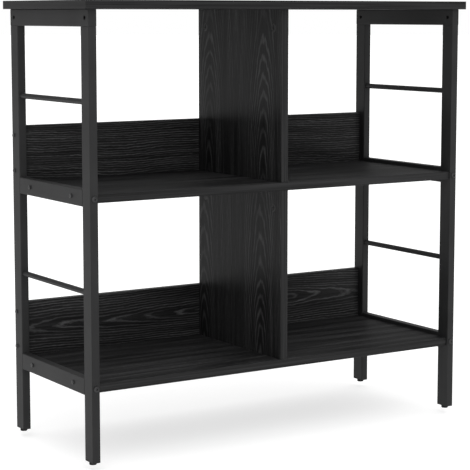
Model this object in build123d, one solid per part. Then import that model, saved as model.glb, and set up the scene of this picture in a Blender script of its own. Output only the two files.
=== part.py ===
from build123d import *
import os

# A free-standing open bookcase: two steel side frames, four fixed boards, two dividers and
# two low back panels, on four levelling feet. +X is to the right, +Y to the back, +Z up.
# The origin is on the floor, under the middle of the top board. All sizes are in millimetres.

# Overall size
WIDTH = 820
DEPTH = 330
HEIGHT = 800
OVERHANG = 10  # top board beyond the side frames, all round

# Boards
BOARD = 15
BAND = 1  # edge banding
MID_LEVEL = 464  # middle of the mid rails and of the mid shelf
BOTTOM_LEVEL = 135.5
SHELF_SETBACK = 4  # shelf front behind the legs' front faces
DIVIDER_SETBACK = 5
PANEL_HEIGHT = 101

# Steel frames
TUBE_W = 15  # across the bookcase
TUBE_D = 30  # along its depth on a leg, upright on a rail
WALL = 1.2
TUBE_R = 1.5
ROD_R = 5
ROD_PIN_R = 3.5
ROD_PIN = 8  # pin at each end, inside the leg
UPPER_ROD_LEVEL = 628
LOWER_ROD_LEVEL = 300
FIT = 0.1  # gap round each pin, screw and plug
OVER = 1  # how far a drill starts or stops outside the solid

# Leg top joint
SPIGOT_W, SPIGOT_D = 10, 16
SPIGOT_UP, SPIGOT_DOWN = 26, 20
PIN_R, PIN_L = 4, 14
PIN_SOCKET_R, PIN_SOCKET = 3.4, 5  # hexagon socket in each end
CAP_FACE, CAP_PLUG = 1.5, 5

# Bolts and screws: head radius, head height, shank radius, length
LEG_BOLT = (5.2, 2.8, 3, 45)
BOLT_SOCKET_R = 2.3
CROSS_SLOT = 1  # width of a cross recess
WOOD_SCREW = (4, 2.2, 2, 36)
TOP_SCREW = (4, 2.2, 2, 13)
DRIVER_HOLE_R = 5  # under each top screw, in the rail's lower wall
BASE_SCREW_R, BASE_SCREW_L, BASE_HEAD_R = 2.5, 45, 4.8
BASE_CROSS_L, BASE_CROSS = 4, 3  # cross recess: length of its arms, depth
END_BLOCK = 12
SHELF_SCREW_Y = 82.5
TOP_SCREW_Y = 90
PANEL_SCREW_Z = 32.5  # above and below the middle of a back panel

# Divider fittings
CAM_R, CAM_DEPTH = 7.5, 12.5
CAM_SLOT_L, CAM_SLOT_W, CAM_SLOT = 10, 2, 1.5  # cross slot: length, width, depth
CAM_DROP = 34  # cam centre below the divider's top edge
CAM_INSET = 26  # cam centre from the divider's front and rear edges
CAM_BOLT_R, CAM_NECK_R = 3.5, 2.5
CAM_BOLT_HEAD, CAM_BOLT_COLLAR = 3, 8
CAM_BOLT_GRIP = 10  # thread in the board above
DOWEL_R, DOWEL_L, DOWEL_GRIP, DOWEL_Y = 4, 30, 10, 60
BASE_SCREW_Y = 105

# Levelling feet
FOOT_R = 6.5
FOOT_CHAMFER, FOOT_FILLET = 0.8, 0.6
FOOT_HEIGHT = 5  # floor to the leg's lower end
FOOT_PLAY = 0.2
STUD_R, STUD_TOP = 3, 27
STUD_FIT = 0.05
FLANGE_R, FLANGE_H = 4.4, 1.5
PLUG_FACE, PLUG_TOP = 2, 27
INSERT_R, INSERT_L = 4.5, 12

SIDES = {"left": -1, "right": 1}
ENDS = {"front": -1, "rear": 1}

# Places worked out from the sizes
FRAME_X = WIDTH / 2 - OVERHANG
FRAME_Y = DEPTH / 2 - OVERHANG
LEG_X = FRAME_X - TUBE_W / 2
LEG_Y = FRAME_Y - TUBE_D / 2
INNER_X = FRAME_X - TUBE_W
INNER_Y = FRAME_Y - TUBE_D
TOP_UNDER = HEIGHT - BOARD
TOP_RAIL_LEVEL = TOP_UNDER - TUBE_D / 2
LEG_TOP = TOP_UNDER - TUBE_D
PANEL_FRONT = FRAME_Y - BOARD
PANEL_Y = FRAME_Y - BOARD / 2
DIVIDER_FRONT = -FRAME_Y + DIVIDER_SETBACK
SHELF_FRONT = -FRAME_Y + SHELF_SETBACK
CAM_PLACES = (DIVIDER_FRONT + CAM_INSET, PANEL_FRONT - CAM_INSET)
LEVELS = {"upper": MID_LEVEL, "lower": BOTTOM_LEVEL}
ON_BASE = (Align.CENTER, Align.CENTER, Align.MIN)


def block(x0, x1, y0, y1, z0, z1):
    """A plain box between two opposite corners."""
    return Pos((x0 + x1) / 2, (y0 + y1) / 2, (z0 + z1) / 2) * Box(x1 - x0, y1 - y0, z1 - z0)


def peg(radius, start, direction, length):
    """A round bar that starts at a point and runs along a direction."""
    bar = Cylinder(radius, length, align=ON_BASE)
    return Plane(origin=start, z_dir=direction) * bar


def tube(length):
    """An upright rectangular tube with rounded corners, its lower end at the origin."""
    outer = RectangleRounded(TUBE_W, TUBE_D, TUBE_R)
    inner = RectangleRounded(TUBE_W - 2 * WALL, TUBE_D - 2 * WALL, TUBE_R - WALL)
    return extrude(outer - inner, length)


def tube_plug(length):
    """A solid that fills the tube's bore with a little room, its lower end at the origin."""
    gap = 2 * FIT
    face = RectangleRounded(TUBE_W - 2 * WALL - gap, TUBE_D - 2 * WALL - gap, TUBE_R - WALL)
    return extrude(face, length)


def screw(size, socket=None):
    """A screw along +Z with its head below the origin, for a hexagon key or a cross driver."""
    head_r, head_h, shank_r, length = size
    head = Pos(0, 0, -head_h) * Cylinder(head_r, head_h, align=ON_BASE)
    head = fillet(head.edges().group_by(Axis.Z)[0], 0.6 * head_h)
    recess = 0.6 * head_h
    if socket:
        drive = extrude(RegularPolygon(socket, 6), recess)
    else:
        drive = Box(0.9 * head_r, CROSS_SLOT, recess, align=ON_BASE)
        drive += Box(CROSS_SLOT, 0.9 * head_r, recess, align=ON_BASE)
    tip = 1.5 * shank_r
    shank = Cylinder(shank_r, length - tip, align=ON_BASE)
    end = Pos(0, 0, length - tip) * Cone(shank_r, 0.3 * shank_r, tip, align=ON_BASE)
    return head - Pos(0, 0, -head_h) * drive + shank + end


def placed(part, start, direction):
    """A part drawn along +Z, turned to run from a point along a direction."""
    return Plane(origin=start, z_dir=direction) * part


def save(name, *pieces):
    """Write one node, as one solid or as a group of separate solids."""
    solids = [solid for piece in pieces for solid in piece.solids()]
    shape = solids[0] if len(solids) == 1 else Compound(solids)
    export_step(shape, f"parts/{name}.step")


def leg(side, end):
    """One leg: an upright tube drilled for its rails, rods, top joint and back panels."""
    x, y = side * LEG_X, end * LEG_Y
    part = Pos(x, y, FOOT_HEIGHT + PLUG_FACE) * tube(LEG_TOP - FOOT_HEIGHT - PLUG_FACE)
    inward = (0, -end, 0)
    for level in LEVELS.values():
        part -= peg(LEG_BOLT[2] + FIT, (x, end * (FRAME_Y + OVER), level), inward, TUBE_D + 2 * OVER)
    for level in (UPPER_ROD_LEVEL, LOWER_ROD_LEVEL):
        part -= peg(ROD_PIN_R + FIT, (x, end * LEG_Y, level), inward, TUBE_D)
    if end > 0:
        for level in LEVELS.values():
            for z in panel_screw_levels(level):
                start = (side * (FRAME_X + OVER), PANEL_Y, z)
                part -= peg(WOOD_SCREW[2] + FIT, start, (-side, 0, 0), TUBE_W + 2 * OVER)
    return part


def panel_screw_levels(level):
    """The heights of the two screws at each end of the back panel on a shelf."""
    middle = level + BOARD / 2 + PANEL_HEIGHT / 2
    return middle - PANEL_SCREW_Z, middle + PANEL_SCREW_Z


def top_rail(side):
    """A rail that lies on its two legs, drilled for their spigots, pins and the board's screws."""
    length = 2 * (FRAME_Y - CAP_FACE)
    part = Pos(side * LEG_X, -length / 2, TOP_RAIL_LEVEL) * Rot(-90, 0, 0) * tube(length)
    for end in ENDS.values():
        y = end * LEG_Y
        half_w, half_d = SPIGOT_W / 2 + FIT, SPIGOT_D / 2 + FIT
        x = side * LEG_X
        part -= block(x - half_w, x + half_w, y - half_d, y + half_d, LEG_TOP - OVER, LEG_TOP + 2 * OVER)
        start = (side * (FRAME_X + OVER), y, TOP_RAIL_LEVEL)
        part -= peg(PIN_R + FIT, start, (-side, 0, 0), TUBE_W + 2 * OVER)
        y = end * TOP_SCREW_Y
        part -= peg(DRIVER_HOLE_R, (x, y, LEG_TOP - OVER), (0, 0, 1), WALL + 2 * OVER)
        part -= peg(TOP_SCREW[2] + FIT, (x, y, LEG_TOP), (0, 0, 1), TUBE_D + OVER)
    return part


def shelf_rail(side, level):
    """A rail between two legs, drilled for the two screws that hold the shelf."""
    part = Pos(side * LEG_X, -INNER_Y, level) * Rot(-90, 0, 0) * tube(2 * INNER_Y)
    for y in (-SHELF_SCREW_Y, SHELF_SCREW_Y):
        start = (side * (FRAME_X + OVER), y, level)
        part -= peg(WOOD_SCREW[2] + FIT, start, (-side, 0, 0), TUBE_W + 2 * OVER)
    return part


def rod(side, level):
    """A round guard rod with a thinner pin at each end, held between two legs."""
    x = side * LEG_X
    part = peg(ROD_R, (x, -INNER_Y, level), (0, 1, 0), 2 * INNER_Y)
    return part + peg(ROD_PIN_R, (x, -INNER_Y - ROD_PIN, level), (0, 1, 0), 2 * (INNER_Y + ROD_PIN))


def shelf(level):
    """A shelf without its edge banding, drilled at both ends and under and over the divider."""
    part = block(-INNER_X, INNER_X, SHELF_FRONT + BAND, FRAME_Y - BAND, level - BOARD / 2, level + BOARD / 2)
    for side in SIDES.values():
        for y in (-SHELF_SCREW_Y, SHELF_SCREW_Y):
            depth = WOOD_SCREW[3] - TUBE_W + OVER
            part -= peg(WOOD_SCREW[2] + FIT, (side * INNER_X, y, level), (-side, 0, 0), depth)
    for y in (-DOWEL_Y, DOWEL_Y):
        start = (0, y, level + BOARD / 2 - DOWEL_GRIP)
        part -= peg(DOWEL_R + FIT, start, (0, 0, 1), DOWEL_GRIP + OVER)
    if level == MID_LEVEL:
        for y in CAM_PLACES:
            start = (0, y, level - BOARD / 2 - OVER)
            part -= peg(CAM_BOLT_R + FIT, start, (0, 0, 1), CAM_BOLT_GRIP + 2 * OVER)
    else:
        for y in (-BASE_SCREW_Y, BASE_SCREW_Y):
            part -= placed(base_screw(FIT), (0, y, level - BOARD / 2), (0, 0, 1))
    return part


def top_board():
    """The top board without its edge banding, drilled from below."""
    x, y = WIDTH / 2 - BAND, DEPTH / 2 - BAND
    part = block(-x, x, -y, y, TOP_UNDER, HEIGHT)
    for side in SIDES.values():
        for end in ENDS.values():
            start = (side * LEG_X, end * TOP_SCREW_Y, TOP_UNDER - OVER)
            part -= peg(TOP_SCREW[2] + FIT, start, (0, 0, 1), TOP_SCREW[3] + OVER)
    for y in CAM_PLACES:
        part -= peg(CAM_BOLT_R + FIT, (0, y, TOP_UNDER - OVER), (0, 0, 1), CAM_BOLT_GRIP + 2 * OVER)
    return part


def frame_bands(x, y, z0, z1):
    """Banding round all four edges of a board whose finished half sizes are x and y."""
    long_edges = [block(-x, x, *sorted((end * y, end * (y - BAND))), z0, z1) for end in (-1, 1)]
    short_edges = [
        block(*sorted((side * x, side * (x - BAND))), -y + BAND, y - BAND, z0, z1) for side in (-1, 1)
    ]
    return long_edges + short_edges


def edge_pair(x, front, rear, z0, z1):
    """Banding on the front and rear edges of a board of half width x."""
    return [block(-x, x, front, front + BAND, z0, z1), block(-x, x, rear - BAND, rear, z0, z1)]


def divider(bottom, top, screwed):
    """An upright divider without its edge banding, drilled for cams, dowels and base screws."""
    part = block(-BOARD / 2, BOARD / 2, DIVIDER_FRONT + BAND, PANEL_FRONT - BAND, bottom, top)
    for y in CAM_PLACES:
        part -= peg(CAM_R + FIT, (-BOARD / 2 - OVER, y, top - CAM_DROP), (1, 0, 0), CAM_DEPTH + OVER)
        part -= peg(CAM_BOLT_R + FIT, (0, y, top - CAM_DROP), (0, 0, 1), CAM_DROP + OVER)
    for y in (-DOWEL_Y, DOWEL_Y):
        part -= peg(DOWEL_R + FIT, (0, y, bottom - OVER), (0, 0, 1), DOWEL_L - DOWEL_GRIP + 1.5 * OVER)
    if screwed:
        for y in (-BASE_SCREW_Y, BASE_SCREW_Y):
            depth = BASE_SCREW_L - BOARD + 1.5 * OVER
            part -= peg(BASE_SCREW_R + FIT, (0, y, bottom - OVER), (0, 0, 1), depth)
    return part


def cam_lock():
    """A cam along +X from its slotted face, open above for the head of its bolt."""
    part = peg(CAM_R, (0, 0, 0), (1, 0, 0), CAM_DEPTH)
    long, wide = CAM_SLOT_L / 2, CAM_SLOT_W / 2
    part -= block(-OVER, CAM_SLOT, -wide, wide, -long, long)
    part -= block(-OVER, CAM_SLOT, -long, long, -wide, wide)
    middle = BOARD / 2
    return part - peg(CAM_BOLT_R + FIT, (middle, 0, -CAM_BOLT_R - 1), (0, 0, 1), CAM_R + CAM_BOLT_R + 2)


def cam_bolt():
    """A cam bolt along +Z: the head in the cam, the neck, the collar and the thread above."""
    head = peg(CAM_BOLT_R, (0, 0, -CAM_BOLT_HEAD), (0, 0, 1), CAM_BOLT_HEAD)
    neck = peg(CAM_NECK_R, (0, 0, 0), (0, 0, 1), CAM_DROP - CAM_BOLT_COLLAR)
    collar = peg(CAM_BOLT_R, (0, 0, CAM_DROP - CAM_BOLT_COLLAR), (0, 0, 1), CAM_BOLT_COLLAR)
    thread = peg(CAM_BOLT_R, (0, 0, CAM_DROP), (0, 0, 1), CAM_BOLT_GRIP)
    return head + neck + collar + thread


def base_screw(room):
    """A countersunk screw along +Z with its flat face at the origin, made larger by the room."""
    head = Cone(BASE_HEAD_R + room, BASE_SCREW_R + room, BASE_HEAD_R - BASE_SCREW_R, align=ON_BASE)
    return head + Cylinder(BASE_SCREW_R + room, BASE_SCREW_L, align=ON_BASE)


def back_panel(level):
    """A low back panel without its top band, drilled at both ends."""
    bottom = level + BOARD / 2
    part = block(-INNER_X, INNER_X, PANEL_FRONT, FRAME_Y, bottom, bottom + PANEL_HEIGHT - BAND)
    for side in SIDES.values():
        for z in panel_screw_levels(level):
            depth = WOOD_SCREW[3] - TUBE_W + OVER
            part -= peg(WOOD_SCREW[2] + FIT, (side * INNER_X, PANEL_Y, z), (-side, 0, 0), depth)
    return part


def spigot():
    """The steel block in the top of a leg, with a neck that stands up into the top rail."""
    part = Pos(0, 0, -SPIGOT_DOWN) * tube_plug(SPIGOT_DOWN)
    part += Box(SPIGOT_W, SPIGOT_D, SPIGOT_UP, align=ON_BASE)
    return part - peg(PIN_R + FIT, (-TUBE_W / 2, 0, TUBE_D / 2), (1, 0, 0), TUBE_W)


def cross_pin():
    """A headless pin along +Z with a hexagon socket in each end."""
    part = Cylinder(PIN_R, PIN_L, align=ON_BASE)
    socket = extrude(RegularPolygon(PIN_SOCKET_R, 6), PIN_SOCKET)
    return part - socket - Pos(0, 0, PIN_L - PIN_SOCKET) * socket


def end_block():
    """The threaded block welded in the end of a shelf rail, from its outer face along +Z."""
    return tube_plug(END_BLOCK) - Cylinder(LEG_BOLT[2] + FIT, END_BLOCK, align=ON_BASE)


def end_cap():
    """The cap in the end of a top rail: a face the size of the tube and a short plug, along +Z."""
    face = extrude(RectangleRounded(TUBE_W, TUBE_D, TUBE_R), CAP_FACE)
    return face + Pos(0, 0, CAP_FACE) * tube_plug(CAP_PLUG)


def leg_plug():
    """The plug in the foot of a leg, with a pocket for the threaded insert."""
    part = extrude(RectangleRounded(TUBE_W, TUBE_D, TUBE_R), PLUG_FACE)
    part += Pos(0, 0, PLUG_FACE) * tube_plug(PLUG_TOP - FOOT_HEIGHT - PLUG_FACE)
    part -= Pos(0, 0, 2 * PLUG_FACE) * Cylinder(INSERT_R + FIT, PLUG_TOP, align=ON_BASE)
    return part - Cylinder(STUD_R + 2 * FIT, PLUG_TOP, align=ON_BASE)


def foot_pad():
    """A round levelling pad with a pocket that holds the flange of its stud."""
    height = FOOT_HEIGHT - FOOT_PLAY
    part = Cylinder(FOOT_R, height, align=ON_BASE)
    part = chamfer(part.edges().group_by(Axis.Z)[0], FOOT_CHAMFER)
    part = fillet(part.edges().group_by(Axis.Z)[-1], FOOT_FILLET)
    floor = (height - FLANGE_H) / 2
    pocket = Cylinder(FLANGE_R + STUD_FIT, FLANGE_H + 2 * STUD_FIT, align=ON_BASE)
    part -= Pos(0, 0, floor - STUD_FIT) * pocket
    return part - Pos(0, 0, floor) * Cylinder(STUD_R + STUD_FIT, height, align=ON_BASE)


def foot_stud():
    """The stud of a foot: a flange inside the pad and a shank up into the leg's insert."""
    floor = (FOOT_HEIGHT - FOOT_PLAY - FLANGE_H) / 2
    part = Pos(0, 0, floor) * Cylinder(FLANGE_R, FLANGE_H, align=ON_BASE)
    return part + Pos(0, 0, floor) * Cylinder(STUD_R, STUD_TOP - floor, align=ON_BASE)


os.makedirs("parts", exist_ok=True)

# Boards and their banding
save("top_board", top_board())
save("top_board_edge_bands", *frame_bands(WIDTH / 2, DEPTH / 2, TOP_UNDER, HEIGHT))
for name, level in (("mid_shelf", MID_LEVEL), ("bottom_shelf", BOTTOM_LEVEL)):
    low, high = level - BOARD / 2, level + BOARD / 2
    save(name, shelf(level))
    save(f"{name}_edge_bands", *edge_pair(INNER_X, SHELF_FRONT, FRAME_Y, low, high))
SPANS = {
    "upper": (MID_LEVEL + BOARD / 2, TOP_UNDER),
    "lower": (BOTTOM_LEVEL + BOARD / 2, MID_LEVEL - BOARD / 2),
}
for name, (low, high) in SPANS.items():
    save(f"{name}_divider", divider(low, high, name == "lower"))
    save(f"{name}_divider_edge_bands", *edge_pair(BOARD / 2, DIVIDER_FRONT, PANEL_FRONT, low, high))
for name, level in LEVELS.items():
    top = level + BOARD / 2 + PANEL_HEIGHT
    save(f"{name}_back_panel", back_panel(level))
    save(f"{name}_back_panel_edge_band", block(-INNER_X, INNER_X, PANEL_FRONT, FRAME_Y, top - BAND, top))

# Steel frames
for side_name, side in SIDES.items():
    for end_name, end in ENDS.items():
        save(f"{end_name}_{side_name}_leg", leg(side, end))
    save(f"{side_name}_top_rail", top_rail(side))
    save(f"{side_name}_mid_rail", shelf_rail(side, MID_LEVEL))
    save(f"{side_name}_bottom_rail", shelf_rail(side, BOTTOM_LEVEL))
    save(f"{side_name}_upper_rod", rod(side, UPPER_ROD_LEVEL))
    save(f"{side_name}_lower_rod", rod(side, LOWER_ROD_LEVEL))

# Fittings in and on the frames
CORNERS = [(side, end) for side in SIDES.values() for end in ENDS.values()]
JOINTS = [(side, end, level) for side, end in CORNERS for level in LEVELS.values()]
save("leg_top_spigots", *[Pos(side * LEG_X, end * LEG_Y, LEG_TOP) * spigot() for side, end in CORNERS])
save(
    "top_rail_cross_pins",
    *[
        placed(cross_pin(), (side * (LEG_X + PIN_L / 2), end * LEG_Y, TOP_RAIL_LEVEL), (-side, 0, 0))
        for side, end in CORNERS
    ],
)
save(
    "top_rail_end_caps",
    *[
        Pos(side * LEG_X, end * FRAME_Y, TOP_RAIL_LEVEL) * Rot(end * 90, 0, 0) * end_cap()
        for side, end in CORNERS
    ],
)
save(
    "rail_end_blocks",
    *[
        Pos(side * LEG_X, end * INNER_Y, level) * Rot(end * 90, 0, 0) * end_block()
        for side, end, level in JOINTS
    ],
)
save(
    "leg_bolts",
    *[
        placed(screw(LEG_BOLT, BOLT_SOCKET_R), (side * LEG_X, end * FRAME_Y, level), (0, -end, 0))
        for side, end, level in JOINTS
    ],
)
save("leg_foot_plugs", *[Pos(side * LEG_X, end * LEG_Y, FOOT_HEIGHT) * leg_plug() for side, end in CORNERS])
INSERT = Cylinder(INSERT_R, INSERT_L, align=ON_BASE) - Cylinder(STUD_R + STUD_FIT, INSERT_L, align=ON_BASE)
save(
    "foot_thread_inserts",
    *[Pos(side * LEG_X, end * LEG_Y, FOOT_HEIGHT + 2 * PLUG_FACE) * INSERT for side, end in CORNERS],
)

# Screws into the boards
save(
    "shelf_screws",
    *[
        placed(screw(WOOD_SCREW), (side * FRAME_X, end * SHELF_SCREW_Y, level), (-side, 0, 0))
        for side, end, level in JOINTS
    ],
)
save(
    "back_panel_screws",
    *[
        placed(screw(WOOD_SCREW), (side * FRAME_X, PANEL_Y, z), (-side, 0, 0))
        for side in SIDES.values()
        for level in LEVELS.values()
        for z in panel_screw_levels(level)
    ],
)
save(
    "top_board_screws",
    *[
        placed(screw(TOP_SCREW), (side * LEG_X, end * TOP_SCREW_Y, TOP_UNDER - WALL), (0, 0, 1))
        for side, end in CORNERS
    ],
)

# Divider fittings
CAMS = [(y, high - CAM_DROP) for low, high in SPANS.values() for y in CAM_PLACES]
save("divider_cam_locks", *[Pos(-BOARD / 2, y, z) * cam_lock() for y, z in CAMS])
save("divider_cam_bolts", *[Pos(0, y, z) * cam_bolt() for y, z in CAMS])
save(
    "divider_dowels",
    *[
        peg(DOWEL_R, (0, y, low - DOWEL_GRIP), (0, 0, 1), DOWEL_L)
        for low, high in SPANS.values()
        for y in (-DOWEL_Y, DOWEL_Y)
    ],
)
BASE_UNDER = BOTTOM_LEVEL - BOARD / 2
BASE_SCREW = base_screw(0)
for across, along in ((BASE_CROSS_L, CROSS_SLOT), (CROSS_SLOT, BASE_CROSS_L)):
    BASE_SCREW -= Box(across, along, 2 * BASE_CROSS)
save("divider_base_screws", *[Pos(0, y, BASE_UNDER) * BASE_SCREW for y in (-BASE_SCREW_Y, BASE_SCREW_Y)])

# Levelling feet
for side_name, side in SIDES.items():
    for end_name, end in ENDS.items():
        place = Pos(side * LEG_X, end * LEG_Y, 0)
        save(f"{end_name}_{side_name}_foot_pad", place * foot_pad())
        save(f"{end_name}_{side_name}_foot_stud", place * foot_stud())
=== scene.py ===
import math
from typing import NamedTuple

import bmesh
import bpy
from mathutils import Matrix, Vector


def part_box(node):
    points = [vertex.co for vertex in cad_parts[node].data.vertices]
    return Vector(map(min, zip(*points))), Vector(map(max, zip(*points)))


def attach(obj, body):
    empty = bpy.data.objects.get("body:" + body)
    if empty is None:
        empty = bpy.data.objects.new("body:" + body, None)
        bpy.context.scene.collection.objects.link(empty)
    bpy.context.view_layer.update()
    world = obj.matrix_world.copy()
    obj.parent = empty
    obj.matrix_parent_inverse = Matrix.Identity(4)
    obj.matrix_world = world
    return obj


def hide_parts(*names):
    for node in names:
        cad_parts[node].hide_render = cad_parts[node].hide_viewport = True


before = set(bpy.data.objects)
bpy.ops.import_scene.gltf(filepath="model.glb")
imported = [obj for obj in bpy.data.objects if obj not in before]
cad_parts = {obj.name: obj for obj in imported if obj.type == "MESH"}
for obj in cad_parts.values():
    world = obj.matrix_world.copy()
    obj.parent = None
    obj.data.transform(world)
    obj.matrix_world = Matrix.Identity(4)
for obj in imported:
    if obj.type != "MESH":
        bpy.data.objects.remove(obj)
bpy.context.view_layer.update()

bl_info = {
    "name": "Open bookcase looks",
    "version": (1, 0, 0),
    "blender": (4, 5, 0),
    "location": "3D View > Sidebar > Bookcase",
    "description": "Builds the finished pieces, materials and studio of a steel and black oak bookcase",
    "category": "Object",
}

MM = 0.001
PLAY = 0.1 * MM  # room round a piece that sits in a hole or a tube
PROUD = 1 * MM  # how far a cutter starts outside the piece it cuts
X, Y, Z = 0, 1, 2
SIDES = {"left": -1, "right": 1}
ENDS = {"front": -1, "rear": 1}
CORNERS = [(side, end) for side in SIDES for end in ENDS]
ROOT = "bookcase"


class Figure(NamedTuple):
    """The grain figure of a board; its lengths are in centimetres."""

    grain: int  # axis along the grain
    across: int  # axis across the grain
    seed: float  # picks the pattern
    heart: float  # place of the middle of the arches, across the grain
    plank: float  # distance from one row of arches to the next
    crown: float  # place along the grain where the arches close
    taper: float  # growth of the arches along the grain
    wander: float  # waviness of the lines
    rings: float  # growth lines in a centimetre
    broad: float  # strength of the broad streaks
    light: float  # brightness of the growth lines, against the setting's colour
    gloss: float  # strength of the surface reflection
    rough: float  # roughness of the ground between the lines


# What boards of a kind share: the ring spacing, the streaks and the shine.
PANEL = {"rings": 2.3, "broad": 1.0, "light": 1.0, "gloss": 0.07, "rough": 0.32}
SHELF = {"rings": 1.7, "broad": 1.3, "light": 0.9, "gloss": 0.02, "rough": 0.48}
UPPER = {**PANEL, "light": 0.72}
LOWER = {**PANEL, "light": 0.72, "gloss": 0.055, "rough": 0.34}
BOARDS = {
    "top_board": Figure(X, Y, 1.7, heart=3, plank=38, crown=-55, taper=0.085, wander=0.5, **SHELF),
    "mid_shelf": Figure(X, Y, 5.2, heart=20, plank=60, crown=-60, taper=0.08, wander=0.5, **SHELF),
    "bottom_shelf": Figure(X, Y, 9.4, heart=-20, plank=60, crown=60, taper=0.08, wander=0.5, **SHELF),
    "upper_divider": Figure(Z, Y, 2.6, heart=-9, plank=19, crown=36, taper=0.12, wander=0.55, **UPPER),
    "lower_divider": Figure(Z, Y, 7.9, heart=-8, plank=20, crown=2, taper=0.12, wander=0.55, **LOWER),
    "upper_back_panel": Figure(
        X, Z, 3.3, heart=36, plank=50, crown=-10, taper=0.05, wander=0.9, **PANEL
    ),
    "lower_back_panel": Figure(
        X, Z, 6.1, heart=19.5, plank=24, crown=4, taper=0.06, wander=0.7, **PANEL
    ),
}


# ---------------------------------------------------------------- settings


def length(name, description, default):
    """A length setting, shown in Blender's own units."""
    return bpy.props.FloatProperty(
        name=name, description=description, default=default, min=0, unit="LENGTH", precision=5
    )


def colour(name, description, default):
    """A colour setting."""
    return bpy.props.FloatVectorProperty(
        name=name, description=description, default=default, size=3, min=0, max=1, subtype="COLOR"
    )


class BookcaseSizes(bpy.types.PropertyGroup):
    """Small sizes that finish the pieces"""

    board_ease: length("Board arris", "Rounding on the edges of a board", 0.3 * MM)
    band_ease: length("Band arris", "Rounding on the outer edges of the edge banding", 0.5 * MM)
    band: length("Band thickness", "Thickness of the edge banding", 1 * MM)
    tube_corner: length("Tube corner", "Outer corner radius of the rectangular tube", 1.5 * MM)
    tube_wall: length("Tube wall", "Wall of the rectangular tube", 1.2 * MM)
    tube_rim: length("Tube rim", "Chamfer round the cut end of a tube", 0.4 * MM)
    driver_hole: length("Driver hole", "Radius of the screwdriver holes under a top rail", 5 * MM)
    rod_rim: length("Rod rim", "Rounding at the ends of a guard rod", 0.5 * MM)
    rod_shoulder: length("Rod shoulder", "Step from a guard rod down to the pin at its end", 1 * MM)
    bolt_head: length("Bolt head", "Radius of a leg bolt's head", 5.2 * MM)
    bolt_rise: length("Bolt rise", "Height of a leg bolt's head", 2.8 * MM)
    bolt_shank: length("Bolt shank", "Radius of a leg bolt's shank", 3 * MM)
    bolt_length: length("Bolt length", "Length of a leg bolt under its head", 45 * MM)
    bolt_socket: length("Bolt socket", "Corner radius of a leg bolt's hexagon socket", 2.3 * MM)
    screw_head: length("Screw head", "Radius of a board screw's head", 4 * MM)
    screw_rise: length("Screw rise", "Height of a board screw's head", 2.2 * MM)
    screw_shank: length("Screw shank", "Radius of a board screw's shank", 2 * MM)
    screw_length: length("Screw length", "Length of a board screw under its head", 36 * MM)
    screw_slot: length("Screw slot", "Reach of a board screw's cross slot from its middle", 1.7 * MM)
    screw_slot_width: length("Screw slot width", "Half the width of that cross slot", 0.4 * MM)
    screw_slot_depth: length("Screw slot depth", "Depth of a board screw's cross slot", 1.2 * MM)
    pin_radius: length("Pin radius", "Radius of a cross pin in a top rail", 4 * MM)
    pin_recess: length("Pin recess", "Depth of a cross pin below the rail's face", 0.5 * MM)
    pin_rim: length("Pin rim", "Rounding at the ends of a cross pin", 0.4 * MM)
    pin_socket: length("Pin socket", "Corner radius of a cross pin's hexagon sockets", 3.4 * MM)
    pin_socket_depth: length("Pin socket depth", "Depth of a cross pin's socket", 5.5 * MM)
    cam_radius: length("Cam radius", "Radius of a cam lock", 7.5 * MM)
    cam_rim: length("Cam rim", "Width of the raised ring round a cam lock's face", 1.1 * MM)
    cam_sink: length("Cam sink", "Depth of a cam lock's face inside its ring", 0.35 * MM)
    cam_slot: length("Cam slot", "Reach of a cam lock's cross slot from its middle", 4.2 * MM)
    cam_slot_width: length("Cam slot width", "Half the width of a cam lock's cross slot", 0.75 * MM)
    cam_slot_depth: length("Cam slot depth", "Depth of a cam lock's cross slot", 2.2 * MM)
    cam_mark: length("Cam mark", "Corner radius of the position mark on a cam lock", 1.1 * MM)
    cam_mark_place: length("Cam mark place", "Distance of the position mark from the middle", 5.2 * MM)
    cam_mark_depth: length("Cam mark depth", "Depth of the position mark", 0.8 * MM)
    cam_mouth: length("Cam mouth", "Radius of the hole in a cam lock for its bolt", 3.6 * MM)
    cap_plug: length("Cap plug", "How far a rail's end cap enters its tube", 5 * MM)
    cap_crown: length("Cap crown", "Rounding on the face of a rail's end cap", 0.45 * MM)
    foot_crown: length("Foot crown", "Rounding on the face of a leg's foot plug", 0.5 * MM)
    foot_bore: length("Foot bore", "Radius of the hole in a foot plug for the stud", 3.2 * MM)
    pad_tread: length("Pad tread", "Rounding at the bottom of a foot's pad", 0.8 * MM)
    pad_top: length("Pad top", "Rounding at the top of a foot's pad", 0.6 * MM)
    flute_edge: length("Flute edge", "Distance of a flute in a pad from its edges", 0.2 * MM)
    flute_depth: length("Flute depth", "Depth of a flute in a pad", 0.3 * MM)
    pad_bore: length("Pad bore", "Radius of the hole in a pad for the stud", 3.05 * MM)
    pad_bore_depth: length("Pad bore depth", "Depth of the hole in a pad", 3.1 * MM)
    stud_radius: length("Stud radius", "Outer radius of a foot's threaded stud", 3 * MM)
    thread_pitch: length("Thread pitch", "Pitch of the levelling feet's thread", 1 * MM)
    foot_travel: length("Foot travel", "How far a levelling foot screws out of its leg", 10 * MM)


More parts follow.
